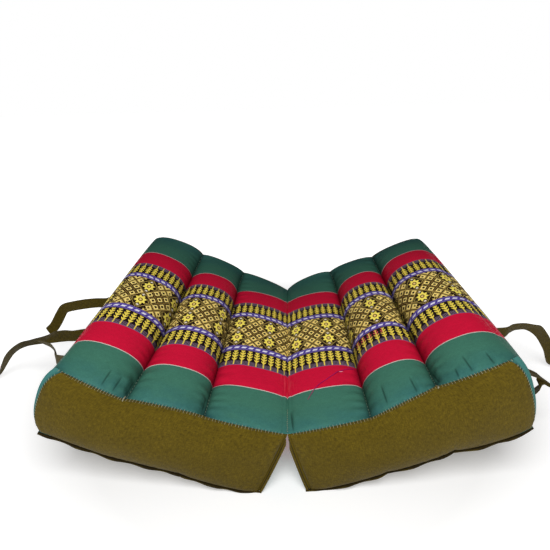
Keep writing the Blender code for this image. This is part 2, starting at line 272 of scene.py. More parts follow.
# Plain cloths and threads: their colour and that of their darker slubs
Plain = namedtuple("Plain", "colour dark roughness")
PLAIN_CLOTHS = {
    "tie_cloth_look": Plain((76, 64, 11), (34, 28, 5), 0.85),
    "panel_cloth_look": Plain((92, 77, 14), (48, 38, 5), 0.85),
    "pale_thread_look": Plain((158, 154, 128), (104, 100, 80), 0.7),
    "dark_thread_look": Plain((40, 62, 54), (26, 40, 34), 0.7),
    "green_thread_look": Plain((128, 148, 128), (92, 116, 98), 0.7),
    "pink_thread_look": Plain((170, 6, 104), (110, 2, 78), 0.6),
    "fleck_thread_look": Plain((240, 176, 190), (220, 130, 150), 0.6),
}

# Seam edges: where the painted shade of the groove at the root ends and the paler tip starts, in millimetres
# from the root
Edge = namedtuple("Edge", "colour groove tip")
EDGE_CLOTHS = {
    "base_edge_look": Edge((36, 28, 8), 2.8, 3.4),
    "corner_edge_look": Edge((74, 62, 16), 1.0, 1.4),
}

# Unevenness of the cloths' colour: the spots' lengths in millimetres and how strong they are
Grain = namedtuple("Grain", "across along seed detail strength")
STRIPED_GRAINS = (
    Grain(9.0, 5.0, 1.0, 3.0, 0.22),
    Grain(60.0, 45.0, 2.0, 2.0, 0.16),
    Grain(4.0, 0.7, 4.0, 1.0, 0.34),
    Grain(0.7, 4.0, 5.0, 1.0, 0.26),
)
SLUB_GRAINS = (
    Grain(1.1, 4.5, 7.0, 2.0, 0.75),
    Grain(5.0, 1.1, 8.0, 2.0, 0.65),
)
PLAIN_GRAINS = (
    Grain(4.0, 5.0, 9.0, 3.0, 0.45),
    Grain(35.0, 25.0, 1.5, 2.0, 0.35),
    Grain(1.5, 5.0, 11.0, 1.0, 0.4),
)
EDGE_GRAINS = (
    Grain(1.1, 4.5, 7.0, 2.0, 0.7),
    Grain(20.0, 6.0, 9.0, 2.0, 0.5),
)
TEAL_GRAIN = Grain(26.0, 14.0, 3.0, 2.0, 1.0)
# the streaks of the painted sheen highlight on the red
PAINTED_SHEEN_GRAIN = Grain(2.0, 24.0, 12.0, 2.0, 1.0)
FINE_GRAIN = Grain(3.5, 0.6, 6.0, 2.0, 1.0)
EDGE_SLUBS = Grain(1.1, 4.5, 7.0, 2.0, 1.0)
EDGE_FOLDS = Grain(14.0, 4.0, 21.0, 1.0, 1.0)
STRIPED_THREADS = 0.55     # from one thread to the next
PLAIN_THREADS = 0.7
STRIPED_BUMP = 0.00025     # metres
PLAIN_BUMP = 0.00035
STRIPED_ROUGHNESS = 0.55
EDGE_ROUGHNESS = 0.88
PLAIN_SHEEN = 0.08
SHEEN_ROUGHNESS = 0.4
SPECULAR = 0.08
SHARP_ANGLE = 60.0         # degrees: an edge that turns by more is sharp

# Fine lines of the halves and panels: cells across one channel, along the depth and up the height
CELLS_ACROSS = 44
CELLS_ALONG = 120
CELLS_UP = 28

# Relief of the cloth
GATHER_HEIGHT = 0.0014     # ripples beside each channel seam
GATHER_LENGTH = 0.017
GATHER_REACH = 0.016
GATHER_START = 0.005       # they rise over this from the seam
PUCKER_HEIGHT = 0.0007     # ripples beside each end seam
PUCKER_LENGTH = 0.012
PUCKER_REACH = 0.014
PUCKER_START = 0.002
SLACK_HEIGHT = 0.0016      # slow unevenness of the filling
SLACK_LENGTH = 0.055
VALLEY_DEPTH = 0.0048      # sharp notch that the sewing thread pulls in
VALLEY_REACH = 0.0085

# Creases in the green cloth, from one place to another in shares of the width and depth; heights in metres
Wrinkle = namedtuple("Wrinkle", "half across depth far_across far_depth height reach")
WRINKLES = (
    Wrinkle(RIGHT, 0.672, 0.100, 0.688, 0.012, 0.0026, 0.0030),
    Wrinkle(RIGHT, 0.818, 0.075, 0.828, 0.005, 0.0020, 0.0026),
    Wrinkle(RIGHT, 0.905, 0.060, 0.915, 0.005, 0.0020, 0.0026),
    Wrinkle(RIGHT, 0.572, 0.075, 0.582, 0.008, 0.0022, 0.0028),
    Wrinkle(RIGHT, 0.760, 0.040, 0.765, 0.004, 0.0014, 0.0020),
    Wrinkle(RIGHT, 0.427, 0.085, 0.428, 0.010, 0.0016, 0.0026),
    Wrinkle(RIGHT, 0.014, 0.085, 0.022, 0.008, 0.0018, 0.0028),
    Wrinkle(LEFT, 0.680, 0.100, 0.680, 0.012, 0.0026, 0.0030),
    Wrinkle(LEFT, 0.727, 0.065, 0.738, 0.006, 0.0022, 0.0026),
    Wrinkle(LEFT, 0.785, 0.070, 0.798, 0.008, 0.0018, 0.0024),
    Wrinkle(LEFT, 0.350, 0.090, 0.352, 0.012, 0.0016, 0.0028),
)

# Sewn-on pieces
PANEL_THICK = 0.0016
PANEL_INSET_BASE = 0.0020  # the side's cloth wraps round the outer edge by this at the base
PANEL_INSET_TOP = 0.0055
PANEL_CORNER_INSET = 0.0035    # and by this much more at the top corner
WRAP_WIDTH = 0.016         # striped cloth goes on under the panel as far as this from the outer edge
PANEL_EASE = 0.004         # the panel's relief rises over this from its edges
PANEL_FULL = 0.0006
PANEL_SLACK = 0.0014
PANEL_SLACK_LENGTH = 0.045
PANEL_PUCKER = 0.0005
PANEL_PUCKER_LENGTH = 0.011
PANEL_PUCKER_REACH = 0.012
PANEL_INNER_RELIEF = 0.2   # how much of the relief its inner face has
FOLD_REACH = 0.006
FOLD_THICK = 0.0012
FOLD_LINES = (1.0, 0.75, 0.5, 0.25, 0.0)
FOLD_THINNING = 0.6        # towards its edges
WELT_WIDTH = 0.0038
WELT_THICK = 0.0018
WELT_WAVE = 0.0008
WELT_WAVE_LENGTH = 0.041
WELT_ROUGHNESS = 0.5
WELT_ROUGH_LENGTH = 0.013
WELT_LEAN = 0.9
WELT_DROOP_HEIGHT = 0.012
WELT_FLOOR_GAP = 0.0003
WELT_ROOT = -0.0012        # the root lies this far inside the half, so that no gap shows
WELT_UNDERCUT = 0.0014
WELT_GIRTH = 0.012         # cloth round its section, in metres, and where the last meets the first
WELT_JOIN = 0.003
WELT_SKIP = 0.004          # shares of the width without a section beside the inner corner
# Its section: how far out, in shares of its width, and how far up, in shares of its thickness
WELT_PROFILE = (
    (0.0, -0.28),
    (0.0, 0.28),
    (0.35, 0.5),
    (0.7, 0.5),
    (0.93, 0.36),
    (1.0, 0.0),
    (0.93, -0.36),
    (0.7, -0.5),
    (0.35, -0.5),
)
# The corner welt's: how far out, and how thick there
CORNER_WELT_PROFILE = (
    (0.0, 0.5),
    (0.3, 0.95),
    (0.6, 1.0),
    (0.85, 0.8),
    (1.0, 0.3),
)
CORNER_WELT_SIDEWAYS = 0.8
CORNER_WELT_LENGTHWAYS = 0.6
CORNER_WELT_LEAST = 0.001
CORNER_WELT_CELLS = 24
WELT_TOP = 0.92

# Threads
# Stops of the loose thread on the right half: shares of the width and depth, height over the cloth
LOOSE_THREAD = (
    (0.098, 0.112, 0.0006),
    (0.142, 0.158, 0.0018),
    (0.198, 0.192, 0.0010),
    (0.245, 0.218, 0.0025),
    (0.257, 0.226, 0.0012),
    (0.297, 0.240, 0.0016),
    (0.327, 0.250, 0.0006),
)
LOOSE_THREAD_STEPS = 5
LOOSE_THREAD_RADIUS = 0.00042
FLECK_ACROSS = (0.254, 0.259, 0.264, 0.269)
FLECK_DEPTH = 0.220
FLECK_LIFT = 0.0022
THREAD_SIDES = 5
THREAD_ENDS = 0.5          # the ends are thinner by this
THREAD_CLOTH_STEP = 0.001
THREAD_CLOTH_SPACING = 0.005
STITCH_PITCH = 0.0018
STITCH_REACH = 0.0009      # from the seam to each end of a stitch
STITCH_SLANT = 0.0004
STITCH_LIFT = 0.0012
STITCH_RADIUS = 0.00024
STITCH_CLEAR = 0.0002
STITCH_STRAY = 0.6         # of the pitch
STITCHES_LEFT_OUT = 3      # next to the crease
OUTER_STITCHES_LEFT_OUT = 6    # next to the base
OUTER_STITCH_REACH = 0.0012
SEAM_STITCH_PITCH = 0.006
SEAM_STITCH_START = 0.6    # of the pitch, as for the length
SEAM_STITCH_LENGTH = 0.6
SEAM_STITCH_LIFT = 0.0012
SEAM_STITCH_END = 0.15     # the channel stitches show within this share of the depth from each end
CREASE_STITCHES = 12
CREASE_STITCH_PITCH = 0.0033
CREASE_STITCH_START = 0.4
CREASE_STITCH_STRAY = 0.0007
CREASE_STITCH_LIFT = 0.0011
KNOTS = ((LEFT, 0.673), (RIGHT, 0.668))
KNOT_RADIUS = 0.0008
KNOT_HEIGHT = 0.985
KNOT_DEPTH = 0.012
KNOT_LIFT = 0.0005
KNOT_LOOP = Vector((0.001, -0.001, 0.0035))

# Ties
TIE_WIDTH = 0.018
TIE_THICK = 0.0015
TIE_STEP = 0.004
TIE_ROOT_GAP = 0.0015
TIE_ROOT_SPAN = 0.12
TIE_LEAD = 0.006
TIE_CELLS = 8
TIE_EDGE = 0.35            # how thick its edges are, in shares of its thickness
TIE_CURL = 0.0009
TIE_CURL_LENGTH = 0.02
TIE_STEEP = 0.3            # a run steeper than this keeps its turn from the last section
TIE_FLOOR_GAP = 0.2

# Each tie's root, as shares of its half's depth and height, and its route from there
Tie = namedtuple("Tie", "half depth height stops")
Stop = namedtuple("Stop", "x y z turn")    # turn is how far the width is turned from upright, in degrees
TIES = {
    "left_back_tie": Tie(LEFT, 0.74, 0.15, (
        Stop(-0.313, 0.106, 0.117, 0),
        Stop(-0.333, 0.106, 0.117, 0),
        Stop(-0.356, 0.108, 0.114, 0),
        Stop(-0.380, 0.114, 0.108, 0),
        Stop(-0.400, 0.119, 0.101, 0),
        Stop(-0.410, 0.120, 0.089, 5),
        Stop(-0.418, 0.118, 0.076, 10),
        Stop(-0.426, 0.116, 0.065, 15),
        Stop(-0.436, 0.113, 0.057, 30),
    )),
    "left_middle_tie": Tie(LEFT, 0.465, 0.17, (
        Stop(-0.322, -0.010, 0.113, 0),
        Stop(-0.340, -0.004, 0.110, 10),
        Stop(-0.362, 0.006, 0.103, 25),
        Stop(-0.385, 0.016, 0.094, 62),
        Stop(-0.407, 0.024, 0.086, 74),
        Stop(-0.429, 0.030, 0.078, 72),
        Stop(-0.449, 0.034, 0.068, 58),
        Stop(-0.465, 0.037, 0.055, 44),
        Stop(-0.480, 0.040, 0.038, 35),
        Stop(-0.494, 0.043, 0.019, 50),
        Stop(-0.508, 0.044, 0.005, 80),
        Stop(-0.527, 0.030, 0.001, 90),
    )),
    "left_front_tie": Tie(LEFT, 0.275, 0.20, (
        Stop(-0.327, -0.064, 0.103, 0),
        Stop(-0.336, -0.048, 0.103, -2),
        Stop(-0.349, -0.030, 0.103, -15),
        Stop(-0.365, -0.016, 0.102, -33),
        Stop(-0.382, -0.006, 0.101, -45),
    )),
    "right_middle_tie": Tie(RIGHT, 0.45, 0.17, (
        Stop(0.331, -0.008, 0.108, 5),
        Stop(0.345, 0.001, 0.110, 15),
        Stop(0.362, 0.009, 0.109, 30),
        Stop(0.383, 0.018, 0.103, 40),
        Stop(0.400, 0.027, 0.093, 25),
        Stop(0.417, 0.038, 0.075, 15),
        Stop(0.434, 0.046, 0.051, 15),
        Stop(0.446, 0.052, 0.028, 35),
        Stop(0.458, 0.056, 0.009, 70),
        Stop(0.485, 0.060, 0.001, 90),
        Stop(0.525, 0.062, 0.001, 90),
    )),
    "right_front_tie": Tie(RIGHT, 0.23, 0.20, (
        Stop(0.319, -0.112, 0.105, 88),
        Stop(0.334, -0.113, 0.098, 90),
        Stop(0.340, -0.110, 0.087, 90),
        Stop(0.331, -0.105, 0.068, 90),
        Stop(0.311, -0.096, 0.042, 90),
        Stop(0.288, -0.087, 0.014, 90),
        Stop(0.267, -0.080, 0.001, 90),
        Stop(0.245, -0.073, 0.001, 90),
    )),
}


def lerp(start, end, share):
    return start + (end - start) * share


def swell(share, power, fullness):
    """0 at both ends of 0 to 1, rising fast to 1 in the middle."""
    return max(0.0, 1.0 - abs(2.0 * share - 1.0) ** power) ** fullness


def banded_swell(share, band):
    """A swell that starts beyond a straight band at its lower end."""
    return swell(max(0.0, share - band) / (1.0 - band), SWELL_POWER, SWELL_FULLNESS)


def between_ends(depth):
    """0 at the front and back seams, and nearly 1 a hand's width in from them."""
    return swell(depth, DEPTH_POWER, DEPTH_FULLNESS)


def along(run, depth):
    """A value that changes from the front end through the middle to the back end."""
    return lerp(lerp(run.front, run.back, depth), run.middle, between_ends(depth))


def channel_share(across):
    """The channel that a share of the width falls in, and the share of that channel."""
    channel = min(int(across * CHANNELS), CHANNELS - 1)
    return channel, across * CHANNELS - channel


def channel_height(seams, crowns, across, depth):
    """Height of the sewn cloth above its straight plane: low at each seam, swollen between two."""
    channel, share = channel_share(across)
    low = lerp(along(seams[channel], depth), along(seams[channel + 1], depth), share)
    return low + along(crowns[channel], depth) * swell(share, CROWN_POWER, CROWN_FULLNESS)


def width_share(half, across, depth):
    """Where a share counted in equal channels really lies on the width."""
    channel, share = channel_share(across)
    turns = (0.0, *ROWS[half.name].seam_turns, 0.0)
    turn = lerp(turns[channel], turns[channel + 1], share) * (1.0 - depth) ** TURN_POWER
    return across + turn + lerp(SEAM_SHIFTS[channel], SEAM_SHIFTS[channel + 1], share)


def hinge_height(depth):
    return lerp(HINGE_FRONT, HINGE_BACK, depth) + HINGE_RISE * between_ends(depth)


def skin_point(half, across, depth, height, lift=0.0):
    """A point of a half's surface, from shares of its width, depth and height; lift raises the top cloth."""
    rows = ROWS[half.name]
    fold = math.radians(lerp(half.fold_front, half.fold_back, depth))
    hinge = hinge_height(depth)
    inner_thick = (hinge + half.base_in * math.sin(fold) + BASE_SINK) / math.cos(fold)
    outer_thick = lerp(half.thick_front, half.thick_back, depth)
    side_swell = banded_swell(height, BAND / outer_thick)
    aside = width_share(half, across, depth)
    base_out = lerp(half.base_in, half.width + half.base_out, aside)
    top_out = aside * (half.width + SHOULDER_OUT * between_ends(depth))
    out = lerp(base_out, top_out, height)
    out += across * along(rows.outer_bulge, depth) * side_swell
    out -= (1.0 - across) * along(INNER_BULGE, depth) * side_swell
    top = channel_height(rows.top_seams, rows.top_crowns, across, depth) + lift
    base = channel_height(rows.base_seams, rows.base_crowns, across, depth)
    base -= lerp(inner_thick, outer_thick, aside)
    floor = -(hinge + base_out * math.sin(fold)) / math.cos(fold)
    up = lerp(max(base, floor), top, height)
    x = max(HALF_GAP, out * math.cos(fold) - up * math.sin(fold))
    y = (depth - 0.5) * DEPTH - half.base_front * (1.0 - depth) * (1.0 - height)
    z = max(0.0, hinge + out * math.sin(fold) + up * math.cos(fold))
    if depth in (0.0, 1.0):
        end_swell = side_swell * banded_swell(across, BAND / half.width)
        y += math.copysign(END_BULGE * end_swell, depth - 0.5)
    return Vector((CREASE_X + half.side * x, y, z))


def ripple(distance, length, phase):
    """An uneven wave: its length and height drift along the seam."""
    drift = 0.6 * noise.noise(Vector((distance / (2.6 * length), phase, 0.5)))
    strength = 0.65 + 0.6 * noise.noise(Vector((distance / (1.9 * length), phase, 7.5)))
    return strength * math.sin(2.0 * math.pi * (distance / length + drift) + phase)


def wrinkle_relief(wrinkle, across_metres, along_metres):
    """A groove with a ridge on its outer side, fading out at both ends."""
    start = Vector((wrinkle.across * wrinkle.half.width, wrinkle.depth * DEPTH))
    run = Vector((wrinkle.far_across * wrinkle.half.width, wrinkle.far_depth * DEPTH)) - start
    place = Vector((across_metres, along_metres)) - start
    share = place.dot(run) / run.length_squared
    if not 0.0 < share < 1.0:
        return 0.0
    off = (place.x * -run.y + place.y * run.x) / run.length / wrinkle.reach
    if abs(off) > 5.0:
        return 0.0
    profile = 0.8 * math.exp(-((off - 1.6) / 1.3) ** 2) - math.exp(-off ** 2)
    return wrinkle.height * profile * (1.0 - abs(2.0 * share - 1.0) ** 3)


def cloth_relief(half, across, depth):
    """Ripples, notches and slackness of the top cloth, as a height over its smooth form."""
    across_metres = across * half.width
    along_metres = depth * DEPTH
    relief = 0.0
    for seam in range(1, CHANNELS):
        off = across_metres - seam * half.width / CHANNELS
        phase = seam + 3.0 * half.side + (0.7 if off > 0.0 else 0.0)
        closeness = math.exp(-(abs(off) / GATHER_REACH) ** 2) * min(1.0, abs(off) / GATHER_START)
        relief += GATHER_HEIGHT * closeness * ripple(along_metres, GATHER_LENGTH, phase)
        relief -= VALLEY_DEPTH * math.exp(-abs(off) / VALLEY_REACH) * between_ends(depth)
    wrinkles = [wrinkle for wrinkle in WRINKLES if wrinkle.half is half]
    relief += sum(wrinkle_relief(wrinkle, across_metres, along_metres) for wrinkle in wrinkles)
    for end, gap in ((0, along_metres), (1, DEPTH - along_metres)):
        closeness = math.exp(-(gap / PUCKER_REACH) ** 2) * min(1.0, gap / PUCKER_START)
        relief += PUCKER_HEIGHT * closeness * ripple(across_metres, PUCKER_LENGTH, end + half.side)
    place = Vector((across_metres / SLACK_LENGTH, along_metres / SLACK_LENGTH, 5.0 * half.side))
    calm = swell(depth, 2.0, 0.5) * swell(channel_share(across)[1], 2.0, 0.5)
    relief += SLACK_HEIGHT * noise.noise(place) * calm
    return relief


def closed_block(counts, place):
    """Corner points and four-cornered faces of a block's skin, with the wall that each face lies in."""
    points = []
    index = {}
    faces = []

    def corner(at):
        if at not in index:
            index[at] = len(points)
            points.append(place(*at))
        return index[at]

    for fixed in range(3):
        first, second = [axis for axis in range(3) if axis != fixed]
        for wall in (0, counts[fixed]):
            for i in range(counts[first]):
                for j in range(counts[second]):
                    grid = []
                    for step_i, step_j in ((0, 0), (1, 0), (1, 1), (0, 1)):
                        at = [0, 0, 0]
                        at[fixed] = wall
                        at[first] = i + step_i
                        at[second] = j + step_j
                        grid.append(tuple(at))
                    faces.append((fixed, wall > 0, [corner(at) for at in grid], grid))
    return points, faces


def add_object(name, data):
    piece = bpy.data.objects.new(name, data)
    bpy.context.collection.objects.link(piece)
    return piece


def add_mesh(name, points, faces, cloth_places, slots=None):
    """One object of smooth faces, with its cloth coordinates in metres in a UV map."""
    mesh = bpy.data.meshes.new(name)
    mesh.from_pydata(points, [], faces)
    layer = mesh.uv_layers.new(name="cloth")
    layer.data.foreach_set("uv", [value for face in cloth_places for place in face for value in place])
    if slots:
        mesh.polygons.foreach_set("material_index", slots)
    mesh.validate()
    work = bmesh.new()
    work.from_mesh(mesh)
    bmesh.ops.recalc_face_normals(work, faces=work.faces)
    work.to_mesh(mesh)
    work.free()
    mesh.shade_smooth()
    mesh.set_sharp_from_angle(angle=math.radians(SHARP_ANGLE))
    return add_object(name, mesh)


def add_block(name, counts, place, cloth_place):
    """One closed block; place and cloth_place give each grid point's place and cloth coordinates."""
    points, walls = closed_block(counts, place)
    faces = [corners for _, _, corners, _ in walls]
    return add_mesh(name, points, faces, [[cloth_place(*at) for at in grid] for _, _, _, grid in walls])


def dress(piece, materials, slot_name, *nodes):
    """Gives a piece its materials and hides the CAD nodes that it stands for; the slot name is not used."""
    for material in materials:
        piece.data.materials.append(material)
    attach(piece, "root")
    if nodes:
        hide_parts(*nodes)
    return piece


def fine_lines(count):
    return [step / count for step in range(count + 1)]


def eased_lines(count, ease):
    """Shares from 0 to 1 that lie closer together near both ends."""
    return [lerp(share, 0.5 - 0.5 * math.cos(math.pi * share), ease) for share in fine_lines(count)]


def fine_across():
    lines = []
    for channel in range(CHANNELS):
        lines += [(channel + share) / CHANNELS for share in eased_lines(CELLS_ACROSS, 0.6)[:-1]]
    return lines + [1.0]


def cloth_distances(half, across):
    """How far along the cloth from the crease each line lies: on its side towards the crease, and beyond."""
    points = [skin_point(half, share, 0.5, 1.0) for share in across]
    inner = [0.0]
    outer = [0.0]
    for i in range(1, len(across)):
        inner.append(outer[-1] + (points[i] - points[i - 1]).length)
        seam = i % CELLS_ACROSS == 0 and i + 1 < len(across)
        outer.append(inner[-1] + (SEAM_TAKE_UP if seam else 0.0))
    return inner, outer


def filled_half(half, cloth, plain):
    """One half: striped cloth on top and at both sides, plain cloth below."""
    across = fine_across()
    depths = eased_lines(CELLS_ALONG, 0.35)
    heights = eased_lines(CELLS_UP, 0.5)
    inner, outer = cloth_distances(half, across)
    wrapped = 1.0 - WRAP_WIDTH / half.width

    def place(i, j, k):
        relief = cloth_relief(half, across[i], depths[j])
        share = max(0.0, heights[k] * 2.0 - 1.0)
        return skin_point(half, across[i], depths[j], heights[k], relief * share)

    def cloth_place(fixed, at, first):
        i, j, k = at
        aside = outer[i] if i == first else inner[i]
        if fixed == 0 and i > 0:
            aside = inner[-1] + (1.0 - heights[k]) * half.thick_front
        elif fixed == 0:
            aside = -(1.0 - heights[k]) * half.thick_front
        return half.side * aside, depths[j] * DEPTH

    def is_striped(fixed, far, grid):
        if fixed == 1:
            return min(across[at[0]] for at in grid) > wrapped
        return fixed == 0 or far

    points, walls = closed_block((len(across) - 1, len(depths) - 1, len(heights) - 1), place)
    faces = [corners for _, _, corners, _ in walls]
    places = [[cloth_place(fixed, at, grid[0][0]) for at in grid] for fixed, _, _, grid in walls]
    slots = [0 if is_striped(fixed, far, grid) else 1 for fixed, far, _, grid in walls]
    piece = add_mesh(f"{half.name}_cushion", points, faces, places, slots)
    dress(piece, (cloth, plain), "striped_cloth", f"{half.name}_half")
    return piece


def panel_edge(half, height):
    """The share of the width where an end panel meets the cloth that wraps round the outer edge."""
    inset = lerp(PANEL_INSET_BASE, PANEL_INSET_TOP, height) + PANEL_CORNER_INSET * height ** 12
    return 1.0 - inset / half.width


def way_out(depth):
    """The direction straight out of an end."""
    return Vector((0.0, math.copysign(1.0, depth - 0.5), 0.0))


def end_panel(half, end, depth, cloth):
    """The plain sheet over one end, puckered along its seams."""
    first = BAND / half.width
    across = [lerp(first, 1.0, share) for share in fine_lines(3 * CELLS_ACROSS)]
    low = BAND / half.thick_front
    heights = [lerp(low, 1.0, share) for share in eased_lines(CELLS_UP, 0.4)]

    def cloth_place(i, _, k):
        return across[i] * half.width, heights[k] * half.thick_front

    def place(i, layer, k):
        share = lerp(first, panel_edge(half, heights[k]), (across[i] - first) / (1.0 - first))
        aside, up = cloth_place(i, layer, k)
        edge = min(across[i] - first, 1.0 - across[i]) * half.width
        rise = min(heights[k] - low, 1.0 - heights[k]) * half.thick_front
        calm = min(1.0, edge / PANEL_EASE) * min(1.0, rise / PANEL_EASE)
        spot = Vector((aside / PANEL_SLACK_LENGTH, up / PANEL_SLACK_LENGTH, 3.0 * half.side + depth))
        relief = PANEL_SLACK * noise.noise(spot)
        pucker = math.exp(-rise / PANEL_PUCKER_REACH) * ripple(aside, PANEL_PUCKER_LENGTH, 2.0 + depth)
        relief = (relief + PANEL_PUCKER * pucker + PANEL_FULL) * calm * (1.0 if layer else PANEL_INNER_RELIEF)
        lift = CLEAR + PANEL_THICK * layer + relief
        return skin_point(half, share, depth, heights[k]) + way_out(depth) * lift

    counts = (len(across) - 1, 1, len(heights) - 1)
    piece = add_block(f"{half.name}_{end}_cover", counts, place, cloth_place)
    dress(piece, (cloth,), "panel_cloth", f"{half.name}_{end}_panel")
    return piece


def fold_strip(cloth):
    """The cloth that crosses the crease."""
    depths = fine_lines(CELLS_ALONG)
    lines = [(LEFT, share) for share in FOLD_LINES] + [(RIGHT, share) for share in reversed(FOLD_LINES)]

    def place(i, j, layer):
        half, share = lines[i]
        thick = FOLD_THICK * (1.0 - FOLD_THINNING * share ** 2)
        point = skin_point(half, share * FOLD_REACH / half.width, depths[j], 1.0)
        return point + UP * (CLEAR + thick * layer)

    def cloth_place(i, j, _):
        half, share = lines[i]
        return half.side * share * FOLD_REACH, depths[j] * DEPTH

    piece = add_block("crease_cloth", (len(lines) - 1, len(depths) - 1, 1), place, cloth_place)
    dress(piece, (cloth,), "striped_cloth", "fold_strip")
    return piece


def base_outline(half):
    """The base's edge points in order: shares of the width and depth, and the way out of the base there."""
    across = [BAND / half.width * share for share in (0.0, 1.0)]
    across += [share for share in fine_across() if share > across[-1] + WELT_SKIP]
    ends = list(zip(across, [-1.0, *[0.0] * (len(across) - 2), 1.0]))
    depths = fine_lines(CELLS_ALONG)[1:-1]
    outline = [(share, 0.0, sideways, -1.0) for share, sideways in ends]
    outline += [(1.0, depth, 1.0, 0.0) for depth in depths]
    outline += [(share, 1.0, sideways, 1.0) for share, sideways in reversed(ends)]
    outline += [(0.0, depth, -1.0, 0.0) for depth in reversed(depths)]
    return outline


def welt_ring(edge, outward, gap, width):
    """Rounded section of a welt: it stands out from an edge, turned down where it is off the floor."""
    droop = min(1.0, edge.z / WELT_DROOP_HEIGHT)
    direction = (outward - UP * (WELT_LEAN * droop)).normalized()
    normal = (UP + outward * WELT_LEAN * droop).normalized()
    corners = []
    for out, rise in WELT_PROFILE:
        corners.append(edge + direction * (gap + width * out) + normal * WELT_THICK * rise)
    lift = max(0.0, WELT_FLOOR_GAP - min(corner.z for corner in corners))
    return [corner + UP * lift for corner in corners]


def joined_rings(rings):
    """Faces that join each closed section to the next and the last to the first."""
    size = len(rings[0])
    faces = []
    for i in range(len(rings)):
        near = size * i
        far = size * ((i + 1) % len(rings))
        for j in range(size):
            after = (j + 1) % size
            faces.append((near + j, near + after, far + after, far + j))
    return [point for ring in rings for point in ring], faces


def base_welt(half, cloth):
    """The wavy seam edge that stands out all round the base."""
    outline = base_outline(half)
    edges = [skin_point(half, share, depth, 0.0) for share, depth, _, _ in outline]
    steps = [(after - before).length for before, after in zip(edges, edges[1:])]
    travels = list(accumulate(steps, initial=0.0))
    rings = []
    for edge, travel, (_, _, sideways, lengthways) in zip(edges, travels, outline):
        wave = math.sin(2.0 * math.pi * travel / WELT_WAVE_LENGTH + half.side)
        wave += WELT_ROUGHNESS * noise.noise(Vector((travel / WELT_ROUGH_LENGTH, half.side, 0.0)))
        outward = Vector((half.side * sideways, lengthways, 0.0))
        gap = WELT_UNDERCUT if sideways < 0.0 else WELT_ROOT
        rings.append(welt_ring(edge, outward, gap, WELT_WIDTH + WELT_WAVE * wave))
    points, faces = joined_rings(rings)
    turns = [share * WELT_GIRTH for share in fine_lines(len(WELT_PROFILE))]
    places = []
    for travel, after in zip(travels, [*travels[1:], travels[-1] + WELT_JOIN]):
        for low, high in zip(turns, turns[1:]):
            places.append(((travel, low), (travel, high), (after, high), (after, low)))
    piece = add_mesh(f"{half.name}_base_edging", points, faces, places)
    return dress(piece, (cloth,), "welt_cloth", f"{half.name}_base_welt")


def corner_welt(half, end, depth, cloth):
    """The seam edge that stands out up the inner corner of one end, and narrows under the crease."""
    low = BAND / half.thick_front
    heights = [lerp(low, WELT_TOP, share) for share in fine_lines(CORNER_WELT_CELLS)]
    lengthways = way_out(depth).y
    direction = Vector((-half.side * CORNER_WELT_SIDEWAYS, lengthways * CORNER_WELT_LENGTHWAYS, 0.0))
    normal = Vector((half.side * CORNER_WELT_LENGTHWAYS, lengthways * CORNER_WELT_SIDEWAYS, 0.0))

    def place(layer, j, step):
        reach, fullness = CORNER_WELT_PROFILE[step]
        edge = skin_point(half, 0.0, depth, heights[j])
        room = (abs(edge.x - CREASE_X) - 2.0 * CLEAR - WELT_THICK / 2) / CORNER_WELT_SIDEWAYS
        width = max(CORNER_WELT_LEAST, min(WELT_WIDTH, room))
        root = edge + direction * CLEAR + normal * WELT_THICK * 0.5
        return root + normal * WELT_THICK * (layer - 0.5) * fullness + direction * width * reach

    def cloth_place(_, j, step):
        return heights[j] * half.thick_front, CORNER_WELT_PROFILE[step][0] * WELT_WIDTH

    counts = (1, len(heights) - 1, len(CORNER_WELT_PROFILE) - 1)
    piece = add_block(f"{half.name}_{end}_edging", counts, place, cloth_place)
    return dress(piece, (cloth,), "welt_cloth", f"{half.name}_{end}_welt")


def top_point(half, across, depth, above):
    """A point over the top cloth."""
    return skin_point(half, across, depth, 1.0, cloth_relief(half, across, depth)) + UP * above


def panel_point(half, across, depth, height, off):
    """A point in front of an end panel, off it by a distance."""
    return skin_point(half, across, depth, height) + way_out(depth) * (CLEAR + PANEL_THICK + off)


def thread_arc(start, top, end):
    """A stitch: a curved route from one point to another, over a third."""
    return [start * (1.0 - t) ** 2 + top * 2.0 * t * (1.0 - t) + end * t ** 2 for t in fine_lines(4)]


def thread_tubes(name, routes, radius, looks, slot_name):
    """Thin round threads along routes of points; they take the looks in turn."""
    points = []
    faces = []
    places = []
    slots = []
    for number, route in enumerate(routes):
        middle = route[len(route) // 2]
        flat = (route[-1] - route[0]).cross(middle - route[0])
        flat = flat.normalized() if flat.length > 1e-9 else UP
        first = len(points)
        for i, place in enumerate(route):
            ahead = (route[min(i + 1, len(route) - 1)] - route[max(i - 1, 0)]).normalized()
            side = ahead.cross(flat).normalized()
            rise = side.cross(ahead)
            thick = radius * (THREAD_ENDS if i in (0, len(route) - 1) else 1.0)
            for corner in range(THREAD_SIDES):
                angle = 2.0 * math.pi * corner / THREAD_SIDES
                points.append(place + (side * math.cos(angle) + rise * math.sin(angle)) * thick)
        spot = number * THREAD_CLOTH_SPACING
        for i in range(len(route) - 1):
            near = first + i * THREAD_SIDES
            far = near + THREAD_SIDES
            low = (spot, i * THREAD_CLOTH_STEP)
            high = (spot, i * THREAD_CLOTH_STEP + THREAD_CLOTH_STEP)
            for corner in range(THREAD_SIDES):
                after = (corner + 1) % THREAD_SIDES
                faces.append((near + corner, near + after, far + after, far + corner))
                places.append((low, low, high, high))
        for ring in (first, len(points) - THREAD_SIDES):
            faces.append(tuple(range(ring, ring + THREAD_SIDES)))
            places.append(((spot, 0.0),) * THREAD_SIDES)
        slots += [number % len(looks)] * (len(faces) - len(slots))
    piece = add_mesh(name, points, faces, places, slots)
    return dress(piece, looks, slot_name)


